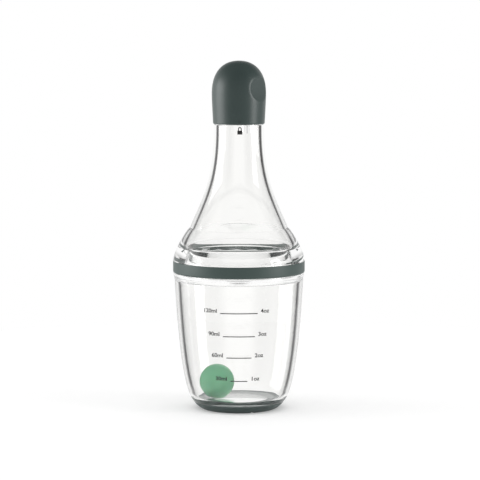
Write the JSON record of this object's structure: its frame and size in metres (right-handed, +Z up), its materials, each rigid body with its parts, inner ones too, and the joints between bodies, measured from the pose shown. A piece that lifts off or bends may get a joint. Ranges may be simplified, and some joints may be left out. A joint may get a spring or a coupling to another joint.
{
  "type": "salad dressing shaker bottle",
  "caption": "Clear dressing shaker: a cup and a slender top screw together over a ring, a cap twists on a pour insert, with a soft foot and a loose mixing ball.",
  "frame": {"origin": "centre of the foot's underside, on the bottle's axis", "axes": "+Z up along the bottle's axis, -Y towards the front with the measuring marks, +X to the right"},
  "size_m": [0.072, 0.072, 0.1904],
  "materials": {
    "clear_plastic": "clear, polished",
    "insert_plastic": "clear, polished",
    "liner_plastic": "satin",
    "cap_plastic": "fine satin",
    "ring_silicone": "smooth satin",
    "foot_silicone": "smooth satin",
    "seal_silicone": "milky, satin",
    "ball_silicone": "smooth, slightly translucent",
    "mark_ink": "printed"
  },
  "bodies": {
    "cup": {"lower_cup": "clear_plastic", "base_foot": "foot_silicone"},
    "ring": {"joint_ring": "ring_silicone"},
    "top": {"upper_body": "clear_plastic"},
    "spout": {"pour_insert": "insert_plastic", "insert_seal": "seal_silicone"},
    "cap": {"cap_shell": "cap_plastic", "cap_liner": "liner_plastic", "cap_seal": "seal_silicone"},
    "ball": {"mixing_ball": "ball_silicone"}
  },
  "joints": [
    {"name": "top_unscrew", "type": "hinge", "parent": "cup", "child": "ring", "pos_m": [0, 0, 0.075], "axis": [0, 0, 1], "range_deg": [0, 450]},
    {"name": "top_rise", "type": "slide", "parent": "ring", "child": "top", "axis": [0, 0, 1], "range_m": [0, 0.00425]},
    {"name": "insert_pull", "type": "slide", "parent": "top", "child": "spout", "axis": [0, 0, 1], "range_m": [0, 0.03]},
    {"name": "cap_twist", "type": "hinge", "parent": "spout", "child": "cap", "pos_m": [0, 0, 0.17], "axis": [0, 0, 1], "range_deg": [0, 60]},
    {"name": "ball_shake", "type": "slide", "parent": "cup", "child": "ball", "axis": [0, 0, 1], "range_m": [0, 0.07]}
  ],
  "couplings": [
    {"joint": "top_rise", "follows": "top_unscrew", "m_per_rad": 0.00054113}
  ]
}
